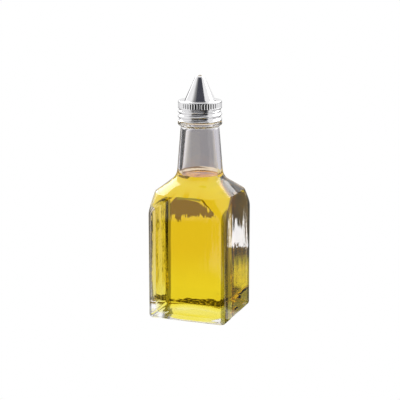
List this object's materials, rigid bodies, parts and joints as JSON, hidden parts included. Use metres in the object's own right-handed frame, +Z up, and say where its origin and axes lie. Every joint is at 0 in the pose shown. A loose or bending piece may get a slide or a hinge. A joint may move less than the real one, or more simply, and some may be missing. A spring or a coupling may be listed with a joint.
{
  "type": "glass oil cruet",
  "caption": "Square glass table bottle for oil with a round neck, an arched shoulder and a screw-on conical steel pouring top.",
  "frame": {"origin": "middle of the base, on the plane that the bottle stands on", "axes": "+Z up along the neck's axis; the four flat sides face along +X, -X, +Y and -Y"},
  "size_m": [0.056, 0.056, 0.166],
  "materials": {
    "clear_glass": "gloss",
    "golden_oil": "gloss",
    "white_seal": "matte",
    "collar_steel": "polished",
    "cone_steel": "polished"
  },
  "bodies": {
    "bottle": {"glass_bottle": "clear_glass", "oil_fill": "golden_oil"},
    "seal": {"sealing_washer": "white_seal"},
    "cap": {"screw_collar": "collar_steel", "pouring_cone": "cone_steel"}
  },
  "joints": [
    {"name": "cap_rise", "type": "slide", "parent": "bottle", "child": "seal", "axis": [0, 0, 1], "range_m": [0, 0.00526]},
    {"name": "cap_turn", "type": "hinge", "parent": "seal", "child": "cap", "pos_m": [0, 0, 0.1355], "axis": [0, 0, 1], "range_deg": [0, 540]}
  ],
  "couplings": [
    {"joint": "cap_rise", "follows": "cap_turn", "m_per_rad": 0.00055704}
  ]
}
